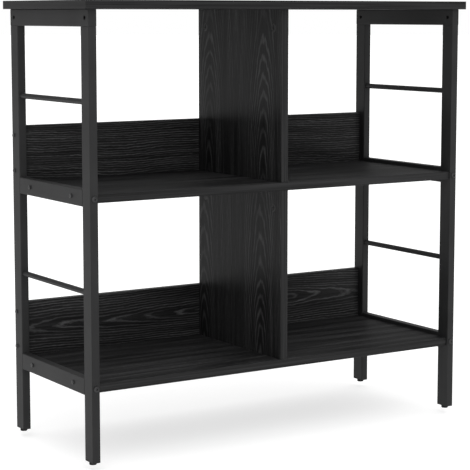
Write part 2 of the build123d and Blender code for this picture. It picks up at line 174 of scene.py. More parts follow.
class BookcaseColours(bpy.types.PropertyGroup):
    """Colours of the finishes"""

    board: colour("Board", "Ground colour of the black oak boards", (0.0050, 0.0050, 0.0052))
    grain: colour("Grain", "Colour of the light growth lines on the boards", (0.078, 0.078, 0.079))
    band: colour("Edge band", "Ground colour of the edge banding", (0.0092, 0.0092, 0.0095))
    coat: colour("Powder coat", "Colour of the frames", (0.0210, 0.0210, 0.0214))
    oxide: colour("Black oxide", "Colour of the bolts and screws", (0.036, 0.036, 0.037))
    # The cross pins' colour is black oxide darkened well below the screws' oxide, as painted shade of
    # the rail holes they sit in.
    pin: colour("Cross pin", "Colour of the pins sunk in the top rails", (0.003, 0.003, 0.003))
    cam: colour("Cam lock", "Colour of the cam locks", (0.007, 0.007, 0.0072))
    plastic: colour("Plastic", "Colour of the caps and plugs", (0.0165, 0.0165, 0.0168))
    foot: colour("Foot", "Colour of the levelling feet", (0.010, 0.010, 0.010))
    zinc: colour("Zinc", "Colour of the plated studs and cam bolts", (0.52, 0.53, 0.55))
    steel: colour("Steel", "Colour of the plain steel inside the frames", (0.33, 0.33, 0.34))
    beech: colour("Beech", "Colour of the dowels", (0.50, 0.34, 0.19))
    floor: colour("Floor", "Colour of the studio floor", (0.60, 0.60, 0.60))


class BookcaseStage(bpy.types.PropertyGroup):
    """Camera and light of the studio"""

    camera_place: bpy.props.FloatVectorProperty(
        name="Camera place",
        description="Where the camera stands",
        default=(-1.6779, -2.6305, 0.7756),
        size=3,
        subtype="XYZ",
        unit="LENGTH",
    )
    camera_turn: bpy.props.FloatProperty(
        name="Camera turn",
        description="Turn of the view from straight at the front, to the right",
        default=math.radians(32.345),
        subtype="ANGLE",
    )
    camera_dip: bpy.props.FloatProperty(
        name="Camera dip",
        description="How far the view dips below level",
        default=math.radians(6.814),
        subtype="ANGLE",
    )
    lens: bpy.props.FloatProperty(
        name="Lens",
        description="Focal length on a 36 mm sensor",
        default=126.40,
        subtype="DISTANCE_CAMERA",
    )
    rise: bpy.props.FloatProperty(
        name="Lens rise", description="Vertical shift of the lens", default=-0.05
    )
    key_strength: bpy.props.FloatProperty(
        name="Key strength", description="Strength of the broad key light", default=1.3, min=0
    )
    key_spread: bpy.props.FloatProperty(
        name="Key spread",
        description="Apparent width of the key light, which softens its shadows",
        default=math.radians(70),
        subtype="ANGLE",
    )
    key_turn: bpy.props.FloatVectorProperty(
        name="Key direction",
        description="Direction from the bookcase to the key light",
        default=(-0.24, -0.84, 0.48),
        size=3,
        subtype="DIRECTION",
    )
    floor_glow: bpy.props.FloatProperty(
        name="Floor glow",
        description="Light of the floor itself, which fills the shadow",
        default=0.58,
        min=0,
    )
    surround: bpy.props.FloatProperty(
        name="Surround",
        description="Brightness of the studio walls as the pieces see them",
        default=0.85,
        min=0,
    )


# ---------------------------------------------------------------- modelling


def deselect():
    """Leave edit mode and deselect every object."""
    if bpy.context.object and bpy.context.object.mode != "OBJECT":
        bpy.ops.object.mode_set(mode="OBJECT")
    bpy.ops.object.select_all(action="DESELECT")


def activate(piece):
    """Make one object the only selected and active one."""
    deselect()
    piece.select_set(True)
    bpy.context.view_layer.objects.active = piece


def settle(name):
    """Name the active object and write its place, turn and scale into its mesh."""
    bpy.ops.object.transform_apply(location=True, rotation=True, scale=True)
    piece = bpy.context.object
    piece.name = piece.data.name = name
    return piece


def block(name, low, high):
    """A block between two corners, from the cube primitive."""
    deselect()
    low, high = Vector(low), Vector(high)
    bpy.ops.mesh.primitive_cube_add(size=1, location=(low + high) / 2, scale=high - low)
    return settle(name)


def disc(name, radius, start, direction, depth, sides=48):
    """A cylinder that starts at a point and runs along a direction, from the cylinder primitive."""
    deselect()
    turn = Vector(direction).to_track_quat("Z", "Y")
    centre = Vector(start) + turn @ Vector((0, 0, depth / 2))
    bpy.ops.mesh.primitive_cylinder_add(
        vertices=sides, radius=radius, depth=depth, location=centre, rotation=turn.to_euler()
    )
    return settle(name)


def edit(piece, mode):
    """Open a piece in edit mode with nothing selected, and return its edit mesh."""
    activate(piece)
    bpy.ops.object.mode_set(mode="EDIT")
    bpy.ops.mesh.select_mode(type=mode)
    bpy.ops.mesh.select_all(action="DESELECT")
    return bmesh.from_edit_mesh(piece.data)


def leave(piece):
    """Go back to object mode."""
    bmesh.update_edit_mesh(piece.data)
    bpy.ops.object.mode_set(mode="OBJECT")


def select_points(piece, wanted):
    """Open a piece with the points selected whose place satisfies a test."""
    shape = edit(piece, "VERT")
    for point in shape.verts:
        point.select_set(bool(wanted(point.co)))
    bmesh.update_edit_mesh(piece.data)


def select_edges(piece, wanted):
    """Open a piece with the edges selected whose two ends satisfy a test."""
    shape = edit(piece, "EDGE")
    for edge in shape.edges:
        edge.select_set(bool(wanted(edge.verts[0].co, edge.verts[1].co)))
    bmesh.update_edit_mesh(piece.data)


def select_faces(piece, wanted):
    """Open a piece with the faces selected whose normal and centre satisfy a test."""
    shape = edit(piece, "FACE")
    for face in shape.faces:
        face.select_set(bool(wanted(face.normal, face.calc_center_median())))
    bmesh.update_edit_mesh(piece.data)


def bevel(radius, segments):
    """Round the selected edges."""
    bpy.ops.mesh.bevel(
        offset=radius, offset_type="OFFSET", segments=segments, profile=0.5, affect="EDGES"
    )


def round_edges(piece, wanted, radius, segments):
    """Round the chosen edges of a piece."""
    select_edges(piece, wanted)
    bevel(radius, segments)
    leave(piece)


def round_rim(piece, wanted, radius, segments):
    """Round the outline of the chosen faces."""
    select_faces(piece, wanted)
    bpy.ops.mesh.region_to_loop()
    bevel(radius, segments)
    leave(piece)


def every_edge(a, b):
    """All the edges of a piece."""
    return True


def facing(direction, least=0.99):
    """A test for faces that face along a direction."""
    direction = Vector(direction)
    return lambda normal, centre: normal.dot(direction) > least


def step_out(piece, wanted, inset, depth, direction):
    """Inset the chosen faces and extrude what is left along a direction."""
    select_faces(piece, wanted)
    bpy.ops.mesh.inset(thickness=inset, depth=0)
    move = Vector(direction) * depth
    bpy.ops.mesh.extrude_region_move(TRANSFORM_OT_translate={"value": move})
    leave(piece)


def weld(piece):
    """Merge points that lie on each other."""
    edit(piece, "VERT")
    bpy.ops.mesh.select_all(action="SELECT")
    bpy.ops.mesh.remove_doubles(threshold=2e-6)
    leave(piece)


def cut(piece, cutter):
    """Take one object's shape out of a piece and delete the cutter."""
    activate(piece)
    modifier = piece.modifiers.new("Cut", "BOOLEAN")
    modifier.operation = "DIFFERENCE"
    modifier.solver = "EXACT"
    modifier.object = cutter
    bpy.ops.object.modifier_apply(modifier=modifier.name)
    bpy.data.objects.remove(cutter)
    weld(piece)


def cut_cross(piece, reach, half_width, top, floor):
    """Cut a cross slot into a face that looks down -Z, from the face to the slot's floor."""
    for wide, narrow in ((reach, half_width), (half_width, reach)):
        cut(piece, block("slot", (-wide, -narrow, top - PROUD), (wide, narrow, floor)))


def shade(piece):
    """Smooth the rounded edges and keep the flat faces flat."""
    activate(piece)
    bpy.ops.object.shade_smooth_by_angle(angle=math.radians(50))
    modifier = piece.modifiers.new("Flat faces", "WEIGHTED_NORMAL")
    modifier.keep_sharp = True
    bpy.ops.object.modifier_apply(modifier=modifier.name)


def join(name, pieces):
    """Join several objects into one named piece."""
    deselect()
    for piece in pieces:
        piece.select_set(True)
    bpy.context.view_layer.objects.active = pieces[0]
    if len(pieces) > 1:
        bpy.ops.object.join()
    piece = bpy.context.object
    piece.name = piece.data.name = name
    return piece


def copies(name, master, places):
    """Put a copy of a piece drawn along +Z at each start and direction, and join the copies."""
    made = []
    for start, direction in places:
        activate(master)
        bpy.ops.object.duplicate()
        turn = Vector(direction).to_track_quat("Z", "Y").to_matrix().to_4x4()
        bpy.context.object.matrix_world = Matrix.Translation(Vector(start)) @ turn
        made.append(settle(name))
    bpy.data.objects.remove(master)
    return join(name, made)


def add_finish(piece, material):
    """Give a piece one material."""
    piece.data.materials.clear()
    piece.data.materials.append(material)


def place(piece, node, material, body=ROOT):
    """Finish a piece that stands for a CAD node, and let it move with its body."""
    shade(piece)
    add_finish(piece, material)
    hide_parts(node)
    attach(piece, body)


# ---------------------------------------------------------------- materials


class Finish:
    """A material that is built up from nodes on the piece's own coordinates."""

    def __init__(self, name):
        self.material = bpy.data.materials.new(name)
        self.material.use_nodes = True
        self.tree = self.material.node_tree
        self.tree.nodes.clear()
        self.output = self.add("ShaderNodeOutputMaterial")
        self.shader = self.add("ShaderNodeBsdfPrincipled")
        self.tree.links.new(self.shader.outputs[0], self.output.inputs["Surface"])
        self.place = self.add("ShaderNodeTexCoord").outputs["Object"]

    def add(self, kind, **settings):
        """Add a node and set its properties."""
        node = self.tree.nodes.new(kind)
        for key, value in settings.items():
            setattr(node, key, value)
        return node

    def feed(self, socket, value):
        """Set a socket to a value, or link it to another socket."""
        if isinstance(value, bpy.types.NodeSocket):
            self.tree.links.new(value, socket)
        else:
            socket.default_value = value

    def math(self, operation, *values):
        """The result of a Math node."""
        node = self.add("ShaderNodeMath", operation=operation)
        for socket, value in zip(node.inputs, values):
            self.feed(socket, value)
        return node.outputs[0]

    def blend(self, share, low, high):
        """A colour between two others."""
        node = self.add("ShaderNodeMix", data_type="RGBA")
        self.feed(node.inputs["Factor"], share)
        self.feed(node.inputs[6], low)
        self.feed(node.inputs[7], high)
        return node.outputs[2]

    def spread(self, value, low, high, new_low, new_high):
        """A value moved from one range to another and held inside it."""
        node = self.add("ShaderNodeMapRange", clamp=True)
        for socket, number in zip(node.inputs, (value, low, high, new_low, new_high)):
            self.feed(socket, number)
        return node.outputs[0]

    def noise(self, vector, scale=1.0, detail=2.0, roughness=0.5):
        """The grey value of a noise texture."""
        node = self.add("ShaderNodeTexNoise")
        values = {"Vector": vector, "Scale": scale, "Detail": detail, "Roughness": roughness}
        for key, value in values.items():
            self.feed(node.inputs[key], value)
        return node.outputs["Fac"]

    def vector(self, *values):
        """A vector from three numbers or sockets."""
        node = self.add("ShaderNodeCombineXYZ")
        for socket, value in zip(node.inputs, values):
            self.feed(socket, value)
        return node.outputs[0]

    def axes(self):
        """The piece's own coordinates along X, Y and Z, in centimetres."""
        node = self.add("ShaderNodeSeparateXYZ")
        self.feed(node.inputs[0], self.place)
        return [self.math("MULTIPLY", socket, 100.0) for socket in node.outputs]

    def bump(self, height, depth, strength=1.0, under=None):
        """A bump of a real depth in metres, on top of another one if there is one."""
        node = self.add("ShaderNodeBump")
        self.feed(node.inputs["Height"], height)
        self.feed(node.inputs["Distance"], depth)
        self.feed(node.inputs["Strength"], strength)
        if under is not None:
            self.feed(node.inputs["Normal"], under)
        return node.outputs[0]

    def surface(self, **values):
        """Set the shader's sockets."""
        for key, value in values.items():
            self.feed(self.shader.inputs[key.replace("_", " ")], value)
        return self.material


def rgba(value):
    """A colour with full opacity."""
    return (*value, 1.0)


def oak(name, figure, ground, line):
    """Black oak foil: nested arches of light growth lines, fine fibres and short open pores."""
    finish = Finish(name)
    axes = finish.axes()
    along, side = axes[figure.grain], axes[figure.across]

    def stretched(along_rate, side_rate, layer):
        """Coordinates for a texture drawn out along the grain, in a layer of its own."""
        return finish.vector(
            finish.math("MULTIPLY", along, along_rate),
            finish.math("MULTIPLY", side, side_rate),
            7.0 * figure.seed + layer,
        )

    def drift(along_rate, side_rate, size, layer, detail=2.0):
        """A smooth wander of up to a size either way."""
        value = finish.noise(stretched(along_rate, side_rate, layer), detail=detail)
        return finish.math("MULTIPLY", finish.math("SUBTRACT", value, 0.5), 2.0 * size * figure.wander)

    heart = finish.math("ADD", finish.math("SUBTRACT", side, figure.heart), drift(0.03, 0.0, 1.5, 0))
    distance = finish.math("PINGPONG", heart, figure.plank / 2)
    depth = finish.math("MULTIPLY", finish.math("SUBTRACT", along, figure.crown), figure.taper)
    depth = finish.math("ADD", depth, drift(0.06, 0.0, 0.7, 3))
    squares = [finish.math("MULTIPLY", value, value) for value in (distance, depth)]
    radius = finish.math("SQRT", finish.math("ADD", *squares))
    rings = finish.math("MULTIPLY", radius, figure.rings)
    for wander in (drift(0.04, 0.25, 1.5, 1), drift(0.5, 1.6, 0.6, 2, detail=4.0)):
        rings = finish.math("ADD", rings, wander)
    turn = finish.math("FRACT", rings)
    swing = finish.math("ABSOLUTE", finish.math("MULTIPLY_ADD", turn, 2.0, -1.0))
    peak = finish.math("SUBTRACT", 1.0, swing)
    growth = finish.spread(peak, 0.52, 0.92, 0.0, 1.0)
    ring = finish.math("MULTIPLY", finish.math("FLOOR", rings), 0.73)
    year = finish.noise(finish.vector(ring, figure.seed))
    growth = finish.math("MULTIPLY", growth, finish.spread(year, 0.3, 0.62, 0.3, 1.0))

    def streaks(along_rate, side_rate, low, high, detail):
        """Fibres or pores: long thin marks along the grain."""
        value = finish.noise(stretched(along_rate, side_rate, 5), detail=detail, roughness=0.6)
        return finish.spread(value, low, high, 0.0, 1.0)

    fibre = streaks(0.11, 7.0, 0.36, 0.66, 4.0)
    dash = streaks(1.1, 15.0, 0.34, 0.58, 2.0)
    pore = streaks(1.5, 26.0, 0.60, 0.72, 1.0)
    broad = streaks(0.028, 0.8 / figure.broad ** 2, 0.36, 0.64, 3.0)
    light = finish.math("MULTIPLY", growth, finish.spread(dash, 0.0, 1.0, 0.45, 1.0))
    light = finish.math("MULTIPLY_ADD", fibre, 0.16, light)
    low, high = 1.0 - 0.5 * figure.broad, 1.0 + 0.3 * figure.broad
    light = finish.math("MULTIPLY", light, finish.spread(broad, 0.0, 1.0, low, high))
    light = finish.math("MULTIPLY_ADD", broad, 0.07 * figure.broad ** 2, light)
    light = finish.math("MULTIPLY", light, finish.spread(pore, 0.0, 1.0, 1.0, 0.5))
    height = finish.math("MULTIPLY_ADD", pore, -0.7, light)
    return finish.surface(
        Base_Color=finish.blend(light, rgba(ground), rgba(Vector(line) * figure.light)),
        Roughness=finish.spread(light, 0.0, 1.0, figure.rough, figure.rough + 0.14),
        Specular_IOR_Level=figure.gloss,
        Normal=finish.bump(height, 0.04 * MM, 0.4),
    )


def edge_band(name, along, ground):
    """Edge banding: fine lengthwise streaks on a satin ground."""
    finish = Finish(name)
    axes = finish.axes()
    rates = [0.035 if axis == along else 4.6 for axis in (X, Y, Z)]
    stretched = [finish.math("MULTIPLY", axis, rate) for axis, rate in zip(axes, rates)]
    streak = finish.noise(finish.vector(*stretched), detail=4.0, roughness=0.6)
    wide = [finish.math("MULTIPLY", axis, 0.3) for axis in stretched]
    broad = finish.noise(finish.vector(*wide), detail=2.0)
    streak = finish.spread(streak, 0.38, 0.62, 0.25, 1.75)
    broad = finish.spread(broad, 0.3, 0.7, 0.85, 1.15)
    tone = finish.math("MULTIPLY", streak, broad)
    light = [channel * 2.2 for channel in ground]
    dark = [channel * 0.3 for channel in ground]
    return finish.surface(
        Base_Color=finish.blend(finish.spread(tone, 0.2, 1.8, 0.0, 1.0), rgba(dark), rgba(light)),
        Roughness=finish.spread(tone, 0.3, 1.6, 0.42, 0.56),
        Specular_IOR_Level=0.18,
        Normal=finish.bump(tone, 0.03 * MM, 0.5),
    )


def powder_coat(name, tint):
    """Fine matt powder coat: an even pebbled skin with faint cloudiness."""
    finish = Finish(name)
    pebble = finish.noise(finish.place, scale=1500.0, detail=2.0)
    skin = finish.noise(finish.place, scale=420.0, detail=2.0)
    cloud = finish.noise(finish.place, scale=14.0, detail=3.0)
    dark = [channel * 0.86 for channel in tint]
    light = [channel * 1.14 for channel in tint]
    orange_peel = finish.bump(skin, 0.06 * MM, 0.35)
    return finish.surface(
        Base_Color=finish.blend(finish.spread(cloud, 0.3, 0.7, 0.0, 1.0), rgba(dark), rgba(light)),
        Roughness=finish.spread(pebble, 0.3, 0.7, 0.40, 0.54),
        Specular_IOR_Level=0.12,
        Normal=finish.bump(pebble, 0.03 * MM, 0.5, orange_peel),
    )


def plastic(name, tint, texture=900.0):
    """Moulded plastic with a fine spark-eroded texture."""
    finish = Finish(name)
    spark = finish.noise(finish.place, scale=texture, detail=3.0)
    cloud = finish.noise(finish.place, scale=60.0, detail=2.0)
    light = [channel * 1.35 for channel in tint]
    return finish.surface(
        Base_Color=finish.blend(cloud, rgba(tint), rgba(light)),
        Roughness=finish.spread(spark, 0.3, 0.7, 0.46, 0.62),
        Specular_IOR_Level=0.14,
        Normal=finish.bump(spark, 0.04 * MM, 0.5),
    )


def metal(name, tint, gloss, metallic):
    """Plated or blackened steel, with turning marks and slight stains."""
    finish = Finish(name)
    stain = finish.noise(finish.place, scale=120.0, detail=4.0)
    marks = finish.noise(finish.place, scale=2080.0, detail=2.0)
    dark = [channel * 0.72 for channel in tint]
    light = [min(1.0, channel * 1.2) for channel in tint]
    return finish.surface(
        Base_Color=finish.blend(finish.spread(stain, 0.3, 0.7, 0.0, 1.0), rgba(dark), rgba(light)),
        Metallic=metallic,
        Roughness=finish.spread(stain, 0.3, 0.7, gloss, gloss + 0.16),
        Normal=finish.bump(marks, 0.01 * MM, 0.4),
    )


def beech_wood(name, tint):
    """Plain beech: short dark flecks along the dowel."""
    finish = Finish(name)
    axes = finish.axes()
    stretched = [finish.math("MULTIPLY", axis, rate) for axis, rate in zip(axes, (22.0, 22.0, 2.0))]
    fleck = finish.noise(finish.vector(*stretched), detail=3.0)
    dark = [channel * 0.6 for channel in tint]
    return finish.surface(
        Base_Color=finish.blend(finish.spread(fleck, 0.35, 0.65, 0.0, 1.0), rgba(dark), rgba(tint)),
        Roughness=finish.spread(fleck, 0.3, 0.7, 0.55, 0.7),
        Normal=finish.bump(fleck, 0.05 * MM, 0.5),
    )


def shared(name, maker, *values):
    """A material by name, made on first use; the CAD's own materials keep the plain names."""
    name = f"{name}_finish"
    return bpy.data.materials.get(name) or maker(name, *values)


# ---------------------------------------------------------------- pieces


def cam_centres():
    """The middle of each cam lock's face."""
    low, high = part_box("divider_cam_locks")
    radius = bpy.context.scene.bookcase_sizes.cam_radius
    return [
        Vector((low.x, y, z))
        for z in (low.z + radius, high.z - radius)
        for y in (low.y + radius, high.y - radius)
    ]


class BOOKCASE_OT_boards(bpy.types.Operator):
    """Build the boards with eased edges, and cut the cam pockets into the dividers"""

    bl_idname = "bookcase.boards"
    bl_label = "Boards"

    def execute(self, context):
        sizes, colours = context.scene.bookcase_sizes, context.scene.bookcase_colours
        for node, figure in BOARDS.items():
            low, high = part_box(node)
            board = block(f"eased_{node}", low, high)
            round_edges(board, every_edge, sizes.board_ease, 2)
            for centre in cam_centres():
                if node.endswith("divider") and low.z < centre.z < high.z:
                    start = centre - Vector((PROUD, 0, 0))
                    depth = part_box("divider_cam_locks")[1].x - start.x
                    cut(board, disc("pocket", sizes.cam_radius + PLAY, start, (1, 0, 0), depth, 64))
            wood = oak(f"black_oak_{node}", figure, colours.board, colours.grain)
            place(board, node, wood)
        return {"FINISHED"}


class BOOKCASE_OT_edge_bands(bpy.types.Operator):
    """Build the edge banding of every board, with its outer arrises rounded"""

    bl_idname = "bookcase.edge_bands"
    bl_label = "Edge bands"

    def execute(self, context):
        sizes = context.scene.bookcase_sizes
        for node in BOARDS:
            name = f"{node}_edge_bands" if "panel" not in node else f"{node}_edge_band"
            low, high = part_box(name)
            strips = []
            if "panel" in node:
                strips.append((low, high, (0, 0, 1), X))
            else:
                along = Z if "divider" in node else X
                for end in (-1, 1):
                    strips.append((*self.slab(low, high, Y, end, sizes.band), (0, end, 0), along))
            if node == "top_board":
                inner_low, inner_high = low.copy(), high.copy()
                inner_low.y += sizes.band
                inner_high.y -= sizes.band
                for side in (-1, 1):
                    ends = self.slab(inner_low, inner_high, X, side, sizes.band)
                    strips.append((*ends, (side, 0, 0), Y))
            self.build(name, strips, context)
        return {"FINISHED"}

    @staticmethod
    def slab(low, high, axis, end, thickness):
        """The slice of a box next to one of its faces."""
        low, high = low.copy(), high.copy()
        if end < 0:
            high[axis] = low[axis] + thickness
        else:
            low[axis] = high[axis] - thickness
        return low, high

    @staticmethod
    def build(name, strips, context):
        """One piece from its strips, each with the streaks along its length."""
        sizes, colours = context.scene.bookcase_sizes, context.scene.bookcase_colours
        made = []
        for low, high, outward, along in strips:
            strip = block(name, low, high)
            round_rim(strip, facing(outward), sizes.band_ease, 3)
            letter = "xyz"[along]
            add_finish(strip, shared(f"edge_band_{letter}", edge_band, along, colours.band))
            made.append(strip)
        piece = join(f"eased_{name}", made)
        shade(piece)
        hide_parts(name)
        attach(piece, ROOT)


def tube(name, low, high, axis, sizes):
    """A hollow rectangular tube with rounded corners, along one axis."""
    piece = block(name, low, high)
    direction = Vector((0, 0, 0))
    direction[axis] = 1
    round_edges(piece, lambda a, b: abs((a - b)[axis]) > 1e-6, sizes.tube_corner, 5)

    def ends(normal, centre):
        return abs(normal[axis]) > 0.99

    round_rim(piece, ends, sizes.tube_rim, 2)
    select_faces(piece, ends)
    bpy.ops.mesh.inset(thickness=sizes.tube_wall - sizes.tube_rim, depth=0)
    bpy.ops.mesh.bridge_edge_loops()
    leave(piece)
    return piece


class BOOKCASE_OT_frames(bpy.types.Operator):
    """Build the legs and rails of the two side frames from rectangular tube"""

    bl_idname = "bookcase.frames"
    bl_label = "Side frames"

    def execute(self, context):
        sizes, colours = context.scene.bookcase_sizes, context.scene.bookcase_colours
        coat = shared("black_powder_coat", powder_coat, colours.coat)
        for side, end in CORNERS:
            node = f"{end}_{side}_leg"
            leg = tube(f"tube_{node}", *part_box(node), Z, sizes)
            place(leg, node, coat)
        for side in SIDES:
            for rail in ("mid_rail", "bottom_rail"):
                node = f"{side}_{rail}"
                piece = tube(f"tube_{node}", *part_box(node), Y, sizes)
                place(piece, node, coat)
            node = f"{side}_top_rail"
            low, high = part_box(node)
            piece = tube(f"tube_{node}", low, high, Y, sizes)
            middle = (low + high) / 2
            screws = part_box("top_board_screws")
            for end, sign in ENDS.items():
                leg_low, leg_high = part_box(f"{end}_{side}_leg")
                y = (leg_low.y + leg_high.y) / 2
                start = (low.x - PROUD, y, middle.z)
                across = high.x - low.x + 2 * PROUD
                cut(piece, disc("hole", sizes.pin_radius + PLAY, start, (1, 0, 0), across, 40))
                reach = (screws[1].y - screws[0].y) / 2 - sizes.screw_head
                start = (middle.x, sign * reach, low.z - PROUD)
                cut(piece, disc("hole", sizes.driver_hole, start, (0, 0, 1), 4 * PROUD, 40))
            place(piece, node, coat)
        return {"FINISHED"}


class BOOKCASE_OT_rods(bpy.types.Operator):
    """Build the round guard rods with a pin at each end"""

    bl_idname = "bookcase.rods"
    bl_label = "Guard rods"

    def execute(self, context):
        sizes, colours = context.scene.bookcase_sizes, context.scene.bookcase_colours
        coat = shared("black_powder_coat", powder_coat, colours.coat)
        for side in SIDES:
            front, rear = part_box(f"front_{side}_leg"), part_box(f"rear_{side}_leg")
            for level in ("upper", "lower"):
                node = f"{side}_{level}_rod"
                low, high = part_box(node)
                radius = (high.x - low.x) / 2
                start = ((low.x + high.x) / 2, front[1].y, (low.z + high.z) / 2)
                rod = disc(f"turned_{node}", radius, start, (0, 1, 0), rear[0].y - front[1].y, 64)
                pin = front[1].y - low.y
                for end in (-1, 1):
                    outward = (0, end, 0)
                    round_rim(rod, facing(outward), sizes.rod_rim, 3)
                    step_out(rod, facing(outward), sizes.rod_shoulder, pin, outward)
                place(rod, node, coat)
        return {"FINISHED"}


def headed(name, head_radius, head_height, shank_radius, shank_length):
    """A screw along +Z: a domed head below the origin and a pointed shank above it."""
    piece = disc(name, head_radius, (0, 0, -head_height), (0, 0, 1), head_height, 40)
    round_rim(piece, facing((0, 0, -1)), 0.55 * head_height, 5)
    top, point = facing((0, 0, 1)), 2 * shank_radius
    step_out(piece, top, head_radius - shank_radius, shank_length - point, (0, 0, 1))
    select_faces(piece, lambda normal, centre: top(normal, centre) and centre.z > shank_length / 2)
    bpy.ops.mesh.extrude_region_move(TRANSFORM_OT_translate={"value": (0, 0, point)})
    bpy.ops.transform.resize(value=(0.35, 0.35, 1))
    leave(piece)
    return piece


class BOOKCASE_OT_bolts(bpy.types.Operator):
    """Build the leg bolts and the cross pins of the top rails"""

    bl_idname = "bookcase.bolts"
    bl_label = "Bolts and pins"

    def execute(self, context):
        sizes, colours = context.scene.bookcase_sizes, context.scene.bookcase_colours
        oxide = shared("black_oxide", metal, colours.oxide, 0.30, 0.6)
        low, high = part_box("leg_bolts")
        radius, height = sizes.bolt_head, sizes.bolt_rise
        bolt = headed("bolt", radius, height, sizes.bolt_shank, sizes.bolt_length)
        start, depth = (0, 0, -height - PROUD), PROUD + 0.65 * height
        cut(bolt, disc("socket", sizes.bolt_socket, start, (0, 0, 1), depth, 6))
        places = [
            ((x, sign * (abs(low.y) - height), z), (0, -sign, 0))
            for x in (low.x + radius, high.x - radius)
            for sign in ENDS.values()
            for z in (low.z + radius, high.z - radius)
        ]
        place(copies("headed_leg_bolts", bolt, places), "leg_bolts", oxide)

        pin_low, pin_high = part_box("top_rail_cross_pins")
        reach = sizes.pin_radius
        rail_low, rail_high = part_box("left_top_rail")
        depth = rail_high.x - rail_low.x - 2 * sizes.pin_recess
        pin = disc("pin", reach, (0, 0, 0), (0, 0, 1), depth, 40)
        round_edges(pin, lambda a, b: abs(a.z - b.z) < 1e-6, sizes.pin_rim, 2)
        socket = sizes.pin_socket_depth + PROUD
        for start in (-PROUD, depth - sizes.pin_socket_depth):
            cut(pin, disc("socket", sizes.pin_socket, (0, 0, start), (0, 0, 1), socket, 6))
        places = [
            ((x, y, (pin_low.z + pin_high.z) / 2), (sign, 0, 0))
            for x, sign in ((pin_low.x, 1), (pin_high.x, -1))
            for y in (pin_low.y + reach, pin_high.y - reach)
        ]
        # Nearly black: the pins' own black oxide, darkened further as painted shade of the holes they
        # sit in.
        dark = shared("black_oxide_with_painted_hole_shade", metal, colours.pin, 0.45, 0.3)
        pins = copies("headless_cross_pins", pin, places)
        place(pins, "top_rail_cross_pins", dark)
        return {"FINISHED"}


class BOOKCASE_OT_screws(bpy.types.Operator):
    """Build the domed screws that hold the shelves and the back panels"""

    bl_idname = "bookcase.screws"
    bl_label = "Board screws"

    def execute(self, context):
        sizes, colours = context.scene.bookcase_sizes, context.scene.bookcase_colours
        oxide = shared("black_oxide", metal, colours.oxide, 0.30, 0.6)
        radius, height = sizes.screw_head, sizes.screw_rise
        for node in ("shelf_screws", "back_panel_screws"):
            low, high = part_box(node)
            screw = headed("screw", radius, height, sizes.screw_shank, sizes.screw_length)
            floor = sizes.screw_slot_depth - height
            cut_cross(screw, sizes.screw_slot, sizes.screw_slot_width, -height, floor)
            if node == "shelf_screws":
                rows = [
                    (y, z)
                    for z in (low.z + radius, high.z - radius)
                    for y in (low.y + radius, high.y - radius)
                ]
            else:
                rows = [((low.y + high.y) / 2, z) for z in self.panel_levels(radius, low, high)]
            places = [
                ((sign * (high.x - height), y, z), (-sign, 0, 0))
                for sign in SIDES.values()
                for y, z in rows
            ]
            place(copies(f"headed_{node}", screw, places), node, oxide)
        return {"FINISHED"}

    @staticmethod
    def panel_levels(radius, low, high):
        """The heights of the four screws at one end: two for each back panel."""
        panel_low, panel_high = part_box("lower_back_panel")
        band_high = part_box("lower_back_panel_edge_band")[1].z
        rise = band_high - panel_low.z - 2 * (low.z + radius - panel_low.z)
        return low.z + radius, low.z + radius + rise, high.z - radius - rise, high.z - radius


class BOOKCASE_OT_cam_locks(bpy.types.Operator):
    """Build the cam locks with their cross slots and position marks"""

    bl_idname = "bookcase.cam_locks"
    bl_label = "Cam locks"

    def execute(self, context):
        sizes, colours = context.scene.bookcase_sizes, context.scene.bookcase_colours
        low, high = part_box("divider_cam_locks")
        depth = high.x - low.x
        cam = disc("cam", sizes.cam_radius, (0, 0, 0), (0, 0, 1), depth, 64)
        face = facing((0, 0, -1))
        round_rim(cam, face, sizes.cam_sink, 2)
        select_faces(cam, face)
        bpy.ops.mesh.inset(thickness=sizes.cam_rim, depth=0)
        bpy.ops.mesh.inset(thickness=0.25 * MM, depth=-sizes.cam_sink)
        leave(cam)
        cut_cross(cam, sizes.cam_slot, sizes.cam_slot_width, 0, sizes.cam_slot_depth)
        start, mark_depth = (0, sizes.cam_mark_place, -PROUD), PROUD + sizes.cam_mark_depth
        cut(cam, disc("mark", sizes.cam_mark, start, (0, 0, 1), mark_depth, 3))
        start = (0, 0, 0.6 * depth)
        cut(cam, disc("mouth", sizes.cam_mouth, start, (0, 1, 0), sizes.cam_radius + PROUD, 32))
        places = [(centre, (1, 0, 0)) for centre in cam_centres()]
        zinc = shared("black_zinc_casting", metal, colours.cam, 0.45, 0.3)
        place(copies("slotted_cam_locks", cam, places), "divider_cam_locks", zinc)
        return {"FINISHED"}


def corner_plug(name, low, high, axis, inward, sizes, plug, crown):
    """A plug for a tube's end: a face with the tube's outline, and a step that enters the bore."""
    piece = block(name, low, high)
    round_edges(piece, lambda a, b: abs((a - b)[axis]) > 1e-6, sizes.tube_corner, 5)
    direction = Vector((0, 0, 0))
    direction[axis] = inward
    round_rim(piece, facing(-direction), crown, 3)
    step_out(piece, facing(direction), sizes.tube_wall + PLAY, plug, direction)
    return piece


